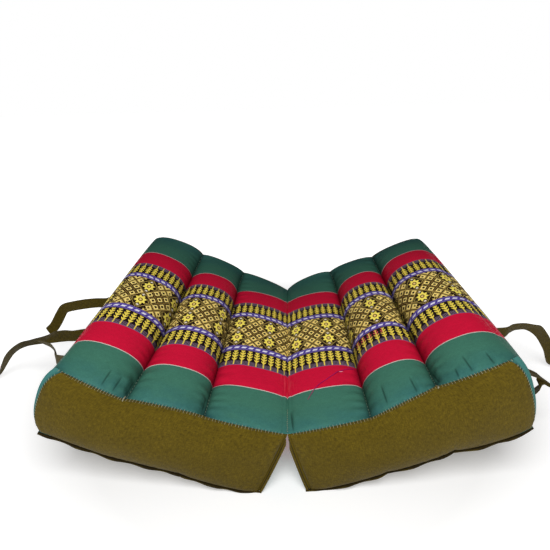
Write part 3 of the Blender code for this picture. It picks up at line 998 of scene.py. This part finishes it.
def end_stitches(half, end, depth, looks):
    """The whipped stitches over the top seam and the outer seam of one end."""
    inside = STITCH_REACH / DEPTH
    inner_depth = inside if depth == 0.0 else 1.0 - inside
    routes = []
    count = round(half.width / STITCH_PITCH)
    for step in range(STITCHES_LEFT_OUT, count - 2):
        share = (step + STITCH_STRAY * noise.noise(Vector((step * 1.7, depth, half.side)))) / count
        slanted = share + STITCH_SLANT / half.width
        start = top_point(half, share, inner_depth, STITCH_CLEAR)
        end_point = panel_point(half, slanted, depth, 1.0 - STITCH_REACH / half.thick_front, STITCH_CLEAR)
        top = skin_point(half, (share + slanted) / 2.0, depth, 1.0) + (way_out(depth) + UP) * STITCH_LIFT
        routes.append(thread_arc(start, top, end_point))
    count = round(half.thick_front / STITCH_PITCH)
    for step in range(OUTER_STITCHES_LEFT_OUT, count - 2):
        height = step / count
        slanted = height + STITCH_SLANT / half.thick_front
        edge = panel_edge(half, height)
        start = panel_point(half, edge - STITCH_REACH / half.width, depth, height, STITCH_CLEAR)
        end_point = panel_point(half, edge + OUTER_STITCH_REACH / half.width, depth, slanted, -PANEL_THICK)
        top = panel_point(half, edge, depth, height, STITCH_LIFT)
        routes.append(thread_arc(start, top, end_point))
    return thread_tubes(f"{half.name}_{end}_stitches", routes, STITCH_RADIUS, looks, "welt_cloth")


def seam_stitches(half, look):
    """The running stitches down each sewn channel near both ends."""
    routes = []
    for seam in range(1, CHANNELS):
        share = seam / CHANNELS
        for number in range(round(DEPTH / SEAM_STITCH_PITCH) - 1):
            start = (number + SEAM_STITCH_START) * SEAM_STITCH_PITCH / DEPTH
            end = start + SEAM_STITCH_LENGTH * SEAM_STITCH_PITCH / DEPTH
            if SEAM_STITCH_END < start < 1.0 - SEAM_STITCH_END:
                continue
            stops = ((start, 0.0), ((start + end) / 2.0, SEAM_STITCH_LIFT), (end, 0.0))
            routes.append(thread_arc(*[top_point(half, share, depth, above) for depth, above in stops]))
    return thread_tubes(f"{half.name}_channel_stitches", routes, STITCH_RADIUS, (look,), "striped_cloth")


def crease_stitches(look):
    """The pale stitches along the front of the crease."""
    routes = []
    above = UP * (CLEAR + FOLD_THICK)
    for number in range(CREASE_STITCHES):
        start = (number + CREASE_STITCH_START) * CREASE_STITCH_PITCH / DEPTH
        end = start + SEAM_STITCH_LENGTH * CREASE_STITCH_PITCH / DEPTH
        sideways = Vector((CREASE_STITCH_STRAY * (-1) ** number, 0.0, 0.0))
        near = skin_point(LEFT, 0.0, start, 1.0) + above + sideways
        far = skin_point(LEFT, 0.0, end, 1.0) + above - sideways
        routes.append(thread_arc(near, (near + far) / 2.0 + UP * CREASE_STITCH_LIFT, far))
    return thread_tubes("crease_stitches", routes, STITCH_RADIUS, (look,), "striped_cloth")


def seam_knots(look):
    """The knotted thread ends where the outer channel seams meet the front seam."""
    routes = []
    for half, share in KNOTS:
        near = panel_point(half, share, 0.0, KNOT_HEIGHT, STITCH_CLEAR)
        routes.append(thread_arc(near, near + KNOT_LOOP, top_point(half, share, KNOT_DEPTH, KNOT_LIFT)))
    return thread_tubes("seam_knots", routes, KNOT_RADIUS, (look,), "welt_cloth")


def stretches(stops):
    """Each stretch from one stop to the next, with the stops before and after it."""
    rows = [stops[0] * 2 - stops[1], *stops, stops[-1] * 2 - stops[-2]]
    return zip(rows, rows[1:], rows[2:], rows[3:])


def curve_points(before, start, end, after, steps):
    """Points of a smooth curve over one stretch, all but its end."""
    points = []
    for t in fine_lines(steps)[:-1]:
        value = start * 2 + (end - before) * t
        value += (before * 2 - start * 5 + end * 4 - after) * t ** 2
        value += (start * 3 - before - end * 3 + after) * t ** 3
        points.append(value / 2)
    return points


def loose_thread(look, fleck_look):
    """The loose bright thread that lies over the front red stripe, and the pale fleck on it."""
    stops = [top_point(RIGHT, across, depth, above) for across, depth, above in LOOSE_THREAD]
    route = []
    for stretch in stretches(stops):
        route += curve_points(*stretch, LOOSE_THREAD_STEPS)
    fleck = [top_point(RIGHT, across, FLECK_DEPTH, FLECK_LIFT) for across in FLECK_ACROSS]
    looks = (look, fleck_look)
    return thread_tubes("loose_thread", [route, fleck], LOOSE_THREAD_RADIUS, looks, "striped_cloth")


def smooth_route(stops):
    """Points and turns about a step apart on a smooth curve through the stops."""
    rows = [Vector(stop) for stop in stops]
    route = []
    for before, start, end, after in stretches(rows):
        steps = max(1, round((end - start).to_3d().length / TIE_STEP))
        route += curve_points(before, start, end, after, steps)
    return [*route, rows[-1]]


def tie_ribbon(name, tie, cloth):
    """A doubled ribbon along its route, its width turned from upright as the stops say."""
    half = tie.half
    root = skin_point(half, 1.0, tie.depth, tie.height)
    spans = (tie.height - TIE_ROOT_SPAN, tie.height, tie.height + TIE_ROOT_SPAN)
    wall = max(half.side * skin_point(half, 1.0, tie.depth, height).x for height in spans)
    turn = tie.stops[0].turn
    start = Stop(half.side * (wall + TIE_ROOT_GAP), root.y, root.z, turn)
    lead = Stop(half.side * (wall + TIE_ROOT_GAP + TIE_LEAD), root.y, root.z, turn)
    route = smooth_route((start, lead, *tie.stops))
    places = [row.to_3d() for row in route]
    sections = []
    level = None
    for i, place in enumerate(places):
        ahead = (places[min(i + 1, len(places) - 1)] - places[max(i - 1, 0)]).normalized()
        across = ahead.cross(UP)
        if across.length > TIE_STEEP or level is None:
            level = across.normalized()
        level = (level - ahead * level.dot(ahead)).normalized()
        rise = level.cross(ahead)
        turn = math.radians(route[i][3])
        width = rise * math.cos(turn) + level * math.sin(turn)
        sections.append((place, width, width.cross(ahead)))
    columns = fine_lines(TIE_CELLS)

    def corner(i, j, k):
        place, width, thick = sections[j]
        share = columns[i]
        roundness = TIE_EDGE + (1.0 - TIE_EDGE) * swell(share, 4.0, 0.5)
        spot = Vector((share * 1.5, j * TIE_STEP / TIE_CURL_LENGTH, tie.depth * 9.0))
        off = TIE_THICK * (k - 0.5) * roundness + TIE_CURL * noise.noise(spot)
        point = place + width * TIE_WIDTH * (share - 0.5) + thick * off
        point.z = max(point.z, TIE_THICK * TIE_FLOOR_GAP + TIE_THICK * k)
        return point

    def cloth_place(i, j, _):
        return columns[i] * TIE_WIDTH, j * TIE_STEP

    counts = (len(columns) - 1, len(sections) - 1, 1)
    piece = add_block(f"{name}_ribbon", counts, corner, cloth_place)
    dress(piece, (cloth,), "tie_cloth", name)
    length = sum((after - before).length for before, after in zip(places, places[1:]))
    return (piece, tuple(places[0]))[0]


def set_inputs(tree, node, inputs):
    """Joins a node's inputs to sockets or sets them to values."""
    for place, value in inputs.items():
        if isinstance(value, bpy.types.NodeSocket):
            tree.links.new(value, node.inputs[place])
        else:
            node.inputs[place].default_value = value


def new_node(tree, kind, inputs, **settings):
    node = tree.nodes.new(kind)
    for name, value in settings.items():
        setattr(node, name, value)
    set_inputs(tree, node, inputs)
    return node


def operation(name):
    """A method that works out a new formula from this one and others."""
    return lambda self, *others: self.work_out(name, *others)


class Formula:
    """A value of a material's nodes, worked out with the usual signs. True is 1 and false is 0."""

    def __init__(self, tree, socket):
        self.tree = tree
        self.socket = socket

    def work_out(self, name, *others):
        inputs = {place: getattr(value, "socket", value) for place, value in enumerate((self, *others))}
        return Formula(self.tree, new_node(self.tree, "ShaderNodeMath", inputs, operation=name).outputs[0])

    __add__ = operation("ADD")
    __sub__ = operation("SUBTRACT")
    __mul__ = operation("MULTIPLY")
    __truediv__ = operation("DIVIDE")
    __pow__ = operation("POWER")
    __lt__ = operation("LESS_THAN")
    __gt__ = operation("GREATER_THAN")
    __and__ = operation("MULTIPLY")
    __or__ = operation("MAXIMUM")
    __abs__ = operation("ABSOLUTE")
    whole = operation("ROUND")
    exponential = operation("EXPONENT")
    sine = operation("SINE")

    def within(self, low, high):
        return self.work_out("COMPARE", (low + high) / 2.0, (high - low) / 2.0)

    def part(self):
        """The rest from the nearest whole number, from -0.5 to 0.5."""
        return self - self.whole()


class Look:
    """One material: its cloth coordinates in millimetres, its colour so far and its shader."""

    def __init__(self, name, colour, roughness, sheen=0.0):
        self.material = bpy.data.materials.new(name)
        self.material.use_nodes = True
        self.tree = self.material.node_tree
        self.shader = self.tree.nodes["Principled BSDF"]
        sheens = {"Sheen Weight": sheen, "Sheen Roughness": SHEEN_ROUGHNESS}
        set_inputs(self.tree, self.shader, {"Roughness": roughness, "Specular IOR Level": SPECULAR, **sheens})
        cloth = new_node(self.tree, "ShaderNodeUVMap", {}, uv_map="cloth")
        split = new_node(self.tree, "ShaderNodeSeparateXYZ", {"Vector": cloth.outputs["UV"]})
        self.across = Formula(self.tree, split.outputs["X"]) * MILLIMETRES
        self.along = Formula(self.tree, split.outputs["Y"]) * MILLIMETRES
        self.colour = new_node(self.tree, "ShaderNodeRGB", {}).outputs[0]
        self.colour.default_value = linear(colour)

    def paint(self, mask, colour):
        """Lays a colour over the colour so far, by the mask."""
        inputs = {0: mask.socket, 6: self.colour, 7: linear(colour)}
        mix = new_node(self.tree, "ShaderNodeMix", inputs, data_type="RGBA", clamp_factor=True)
        self.colour = mix.outputs[2]

    def shade(self, amount):
        """Makes the colour so far lighter or darker, by a value around 1."""
        inputs = {0: self.colour, "Scale": amount.socket}
        self.colour = new_node(self.tree, "ShaderNodeVectorMath", inputs, operation="SCALE").outputs[0]

    def grain(self, row):
        """Noise between 0 and the strength of a row of grain."""
        inputs = {0: (self.across / row.across).socket, 1: (self.along / row.along).socket, 2: row.seed}
        spot = new_node(self.tree, "ShaderNodeCombineXYZ", inputs).outputs[0]
        inputs = {"Vector": spot, "Scale": 1.0, "Detail": row.detail}
        return Formula(self.tree, new_node(self.tree, "ShaderNodeTexNoise", inputs).outputs[0]) * row.strength

    def grains(self, rows):
        first, *others = [self.grain(row) for row in rows]
        return sum(others, first)

    def weave(self, pitch):
        """Height of a plain weave from 0 to 1, with threads of this pitch in millimetres."""
        warp = (self.across * (math.pi / pitch)).sine()
        weft = (self.along * (math.pi / pitch)).sine()
        return warp * weft * 0.5 + 0.5

    def finish(self, height, distance):
        """Joins the colour to the shader, and a bump of this height in shares of a distance in metres."""
        bump = new_node(self.tree, "ShaderNodeBump", {"Distance": distance, "Height": height.socket})
        set_inputs(self.tree, self.shader, {"Normal": bump.outputs["Normal"], "Base Color": self.colour})
        return self.material


def linear(colour):
    """A colour given in the usual 0 to 255 steps, as the shader wants it."""
    shares = [value / 255.0 for value in colour]
    curved = [share / 12.92 if share <= 0.04045 else ((share + 0.055) / 1.055) ** 2.4 for share in shares]
    return (*curved, 1.0)


def tree_border(look, from_middle):
    """A row of leafy trees on a dark ground, their feet in a fringe at the red stripe."""
    foot = from_middle * -1.0 + TREES_END
    off = abs(((look.across - TREE_PLACE) / TREE_PITCH).part()) * TREE_PITCH
    look.paint(from_middle.within(BAND_END, EDGE_LINE_END), TREE_GROUND)
    fringe = ((look.across - TREE_PLACE) * (FRINGE_TEETH / TREE_PITCH)).part().within(-0.2, 0.2)
    look.paint(fringe & (foot < FRINGE_HEIGHT) & (off > FRINGE_GAP) & (foot > EDGE_LINE_START), FRINGE)
    tier = (foot - off * LEAF_SLANT - LEAF_START) / LEAF_PITCH
    half_width = (abs(foot - CROWN_MIDDLE) / CROWN_RISE) ** 2.0 * -CROWN_TAPER + CROWN_WIDTH
    leaf = abs(tier.part()) < (off / half_width * -LEAF_THINNING + LEAF_THICK)
    leaf = leaf & (off < half_width) & foot.within(LEAVES_FROM, LEAVES_TO)
    look.paint(leaf, LEAF)
    tinted = look.across.within(TINTED_FROM, TINTED_TO) & (look.along < MIDDLE)
    look.paint(leaf & tinted & ((foot - TINT_START) * 0.2), RED_LEAF)
    look.paint((off < TRUNK_WIDTH) & foot.within(0.5, TREE_HEIGHT), TRUNK)
    look.paint(from_middle.within(TREES_END - EDGE_LINE_START, EDGE_LINE_END), EDGE_LINE)


def dashed_band(look, from_middle):
    """The violet band with a row of pale slanting dashes."""
    rise = from_middle - (FIELD_END + BAND_END) / 2.0
    look.paint(from_middle.within(FIELD_END, BAND_END), VIOLET)
    look.paint(abs(rise).within(*PALE_LINES), PALE_VIOLET)
    off = ((look.across - TREE_PLACE + rise * DASH_SLANT) / TREE_PITCH).part() * TREE_PITCH
    look.paint((abs(off) < DASH_WIDTH) & (abs(rise) < DASH_HEIGHT), DASH)
    look.paint(abs(rise).within(*DARK_LINES), DARK_VIOLET)


def flower_field(look, from_middle):
    """Diamonds in turn of nine hollow squares and of one eight-petalled flower with two squares."""
    inside = from_middle < FIELD_END
    level = (look.along - MIDDLE) / REPEAT_ALONG
    aside = (look.across - FLOWER_PLACE) / REPEAT_ACROSS + 0.5
    first = aside + level
    second = aside - level
    flower_cell = abs(((first.whole() + second.whole()) * 0.5).part()) > 0.25
    u = first.part() * 3.0
    v = second.part() * 3.0
    reach = abs(u) | abs(v)
    side = abs(u.part()) | abs(v.part())
    square_cell = flower_cell < 0.5
    side_square = (abs(u + v) > SIDE_SQUARES_FROM) & flower_cell
    look.paint(inside, FIELD_GROUND)
    look.paint(inside & side.within(*SQUARE_RING) & (square_cell | side_square), SQUARE)
    look.paint(inside & (side > LATTICE_FROM) & square_cell, LATTICE)
    look.paint(inside & reach.within(*DIAMOND_RING), DIAMOND_LINE)
    look.paint(inside & flower_cell & reach.within(*INNER_DIAMOND_RING), INNER_LINE)
    across = (aside - 0.5).part() * REPEAT_ACROSS / FLOWER_ACROSS
    along_share = (from_middle - FLOWER_RISE) / FLOWER_ALONG
    radius = (across * across + along_share * along_share) ** 0.5
    petals = (along_share.work_out("ARCTAN2", across) * PETALS).work_out("COSINE") * -PETAL_WAVE + PETAL_REACH
    diamond = abs(across) + abs(along_share)
    near, far = [diamond.within(*ring) for ring in FLOWER_DIAMONDS]
    look.paint(inside & (diamond < FLOWER_DIAMOND) & flower_cell, FIELD_GROUND)
    look.paint(inside & flower_cell & (near | far), DIAMOND_LINE)
    look.paint(inside & (radius < FLOWER_HOLLOW), FLOWER_GROUND)
    look.paint(inside & (radius < petals), PETAL)
    look.paint(inside & radius.within(*FLOWER_RING), BROWN)
    look.paint(inside & (radius < FLOWER_EYE), PINK)
    tip = (abs(along_share) - TIP_PLACE) ** 2.0 + across * across * 0.5
    look.paint(inside & (tip < TIP_SIZE), TIP_DOT)


def paint_valley_shade(look, half):
    """Painted shade in the folds beside each channel seam, most on the flank that faces the crease."""
    inner, _ = cloth_distances(half, fine_across())
    take_up = SEAM_TAKE_UP * MILLIMETRES
    for seam in range(1, CHANNELS):
        off = look.across * float(half.side) - inner[seam * CELLS_ACROSS] * MILLIMETRES
        beyond = ((off - take_up) * (-1.0 / VALLEY_PAINTED_SHADE_OUT)).exponential() & (off > take_up / 2.0)
        before = (off * (1.0 / VALLEY_PAINTED_SHADE_IN)).exponential() & (off < take_up / 2.0)
        look.shade(beyond * -VALLEY_PAINTED_SHADE + before * -VALLEY_PAINTED_SHADE + 1.0)


def top_place(half, share, depth):
    """Cloth coordinates in millimetres of a place on a half's top."""
    across = fine_across()
    inner, _ = cloth_distances(half, across)
    nearest = min(range(len(across)), key=lambda i: abs(across[i] - share))
    return Vector((half.side * inner[nearest], depth * DEPTH)) * MILLIMETRES


def paint_wrinkle_shade(look):
    """Painted shade along each crease."""
    for wrinkle in WRINKLES:
        start = top_place(wrinkle.half, wrinkle.across, wrinkle.depth)
        run = top_place(wrinkle.half, wrinkle.far_across, wrinkle.far_depth) - start
        way = run.normalized()
        travelled = (look.across - start.x) * way.x + (look.along - start.y) * way.y
        aside = (look.across - start.x) * -way.y + (look.along - start.y) * way.x
        fade = abs(travelled / run.length * 2.0 - 1.0) ** 3.0 * -1.0 + 1.0
        groove = ((aside / WRINKLE_PAINTED_SHADE_REACH) ** 2.0 * -1.0).exponential()
        look.shade(groove * fade * travelled.within(0.0, run.length) * -WRINKLE_PAINTED_SHADE + 1.0)


def striped_look():
    """The brocade: green, red, a border of trees, a dashed band and the flowered field, and back again."""
    look = Look("striped_cloth_look", GREEN, STRIPED_ROUGHNESS)
    from_middle = abs(look.along - MIDDLE)
    look.paint((from_middle - TEAL_FROM) / TEAL_LENGTH * look.grain(TEAL_GRAIN), TEAL)
    look.paint(from_middle < WHITE_LINE_END, LINE_WHITE)
    look.paint(from_middle < RED_END, RED)
    # painted sheen highlight: paler red streaks, strongest near the crease
    sheen_streaks = look.grain(PAINTED_SHEEN_GRAIN) * (abs(look.across) * -0.02 + 1.0)
    look.paint((from_middle < RED_END) & ((sheen_streaks - 0.42) * 1.6), PAINTED_SHEEN_RED)
    tree_border(look, from_middle)
    dashed_band(look, from_middle)
    flower_field(look, from_middle)
    look.shade((from_middle < FIELD_END) * FIELD_GLOW + 1.0)
    # painted shade in the valleys of the channels
    for half in HALVES:
        paint_valley_shade(look, half)
    # painted shade along the creases
    paint_wrinkle_shade(look)
    # painted shade: the cloth darkens towards the back end, where less light falls
    look.shade((((look.along - PAINTED_BACK_SHADE_FROM) * PAINTED_BACK_SHADE) | 0.0) * -1.0 + 1.0)
    look.shade(look.grains(STRIPED_GRAINS) + 0.51)
    return look.finish(look.weave(STRIPED_THREADS) * 0.35 + look.grain(FINE_GRAIN), STRIPED_BUMP)


def plain_look(name):
    """Plain slubby cotton."""
    cloth = PLAIN_CLOTHS[name]
    look = Look(name, cloth.colour, cloth.roughness, sheen=PLAIN_SHEEN)
    slubs = look.grains(SLUB_GRAINS)
    look.paint((slubs - 0.46) * 1.6, cloth.dark)
    look.shade(look.grains(PLAIN_GRAINS) + 0.42)
    return look.finish(look.weave(PLAIN_THREADS) * 0.5 + slubs, PLAIN_BUMP)


def edge_look(name):
    """Seam edge: painted shade, nearly black, in the groove beside the seam, and plainer cloth at the tip in
    places.
    """
    edge = EDGE_CLOTHS[name]
    look = Look(name, edge.colour, EDGE_ROUGHNESS, sheen=PLAIN_SHEEN)
    look.paint((look.along - edge.tip) * (look.grain(EDGE_FOLDS) - 0.40) * 1.8, EDGE_CLOTH)
    # painted shade: nearly black in the groove at the root
    look.paint((look.along - edge.groove) * -2.0, PAINTED_GROOVE_SHADE)
    look.shade(look.grains(EDGE_GRAINS) + 0.4)
    return look.finish(look.weave(PLAIN_THREADS) * 0.5 + look.grain(EDGE_SLUBS), PLAIN_BUMP)


def place_camera():
    data = bpy.data.cameras.new("camera")
    data.sensor_width = SENSOR_WIDTH
    data.lens = FOCAL_PIXELS / PHOTO_PIXELS * SENSOR_WIDTH
    camera = add_object("camera", data)
    turn = Matrix.Rotation(math.radians(CAMERA_YAW), 4, "Z")
    turn @= Matrix.Rotation(math.radians(90.0 - CAMERA_PITCH), 4, "X")
    turn @= Matrix.Rotation(math.radians(CAMERA_ROLL), 4, "Z")
    camera.matrix_world = Matrix.Translation(CAMERA_PLACE) @ turn
    bpy.context.scene.camera = camera


def build_surround():
    """White where the camera sees it, and dimmer where it lights the cloth."""
    world = bpy.data.worlds.new("surround")
    bpy.context.scene.world = world
    world.use_nodes = True
    tree = world.node_tree
    seen = new_node(tree, "ShaderNodeLightPath", {}).outputs["Is Camera Ray"]
    strength = new_node(tree, "ShaderNodeMapRange", {"Value": seen, "To Min": AMBIENT, "To Max": 1.0})
    set_inputs(tree, tree.nodes["Background"], {"Strength": strength.outputs[0], "Color": WHITE})


def floor_material():
    """Pale, and evened out to white away from the cushion."""
    material = bpy.data.materials.new("floor_white")
    material.use_nodes = True
    tree = material.node_tree
    place = new_node(tree, "ShaderNodeTexCoord", {}).outputs["Object"]
    distance = new_node(tree, "ShaderNodeVectorMath", {0: place}, operation="LENGTH").outputs["Value"]
    reaches = {"Value": distance, "From Min": GLOW_NEAR_REACH, "From Max": GLOW_FAR_REACH}
    glow = new_node(tree, "ShaderNodeMapRange", {**reaches, "To Min": GLOW_NEAR, "To Max": GLOW_FAR})
    shader = tree.nodes["Principled BSDF"]
    set_inputs(tree, shader, {"Base Color": FLOOR_COLOUR, "Roughness": FLOOR_ROUGHNESS})
    set_inputs(tree, shader, {"Emission Color": WHITE, "Emission Strength": glow.outputs[0]})
    return material


def build_stage():
    """Plain pale floor, a white surround and a soft square light from the front and above."""
    size = FLOOR_SIZE / 2.0
    mesh = bpy.data.meshes.new("floor")
    corners = [(-size, -size, 0), (size, -size, 0), (size, size, 0), (-size, size, 0)]
    mesh.from_pydata(corners, [], [(0, 1, 2, 3)])
    floor = add_object("floor", mesh)
    floor.data.materials.append(floor_material())
    build_surround()
    bpy.context.scene.view_settings.view_transform = "Standard"
    data = bpy.data.lights.new("key_light", "AREA")
    data.size = KEY_SIZE
    data.energy = KEY_POWER
    light = add_object("key_light", data)
    light.location = KEY_PLACE
    light.rotation_euler = (Vector(LIGHT_AIM) - Vector(KEY_PLACE)).to_track_quat("-Z", "Y").to_euler()


def build():
    place_camera()
    tie_cloth = plain_look("tie_cloth_look")
    for name, tie in TIES.items():
        tie_ribbon(name, tie, tie_cloth)
    striped = striped_look()
    plain = plain_look("panel_cloth_look")
    base_edge = edge_look("base_edge_look")
    corner_edge = edge_look("corner_edge_look")
    for half in HALVES:
        filled_half(half, striped, plain)
        base_welt(half, base_edge)
        for end, depth in ENDS.items():
            end_panel(half, end, depth, plain)
            corner_welt(half, end, depth, corner_edge)
    fold_strip(striped)
    pale_thread = plain_look("pale_thread_look")
    dark_thread = plain_look("dark_thread_look")
    green_thread = plain_look("green_thread_look")
    for half in HALVES:
        for end, depth in ENDS.items():
            end_stitches(half, end, depth, (pale_thread, dark_thread))
        seam_stitches(half, green_thread)
    crease_stitches(pale_thread)
    seam_knots(pale_thread)
    loose_thread(plain_look("pink_thread_look"), plain_look("fleck_thread_look"))
    build_stage()


build()
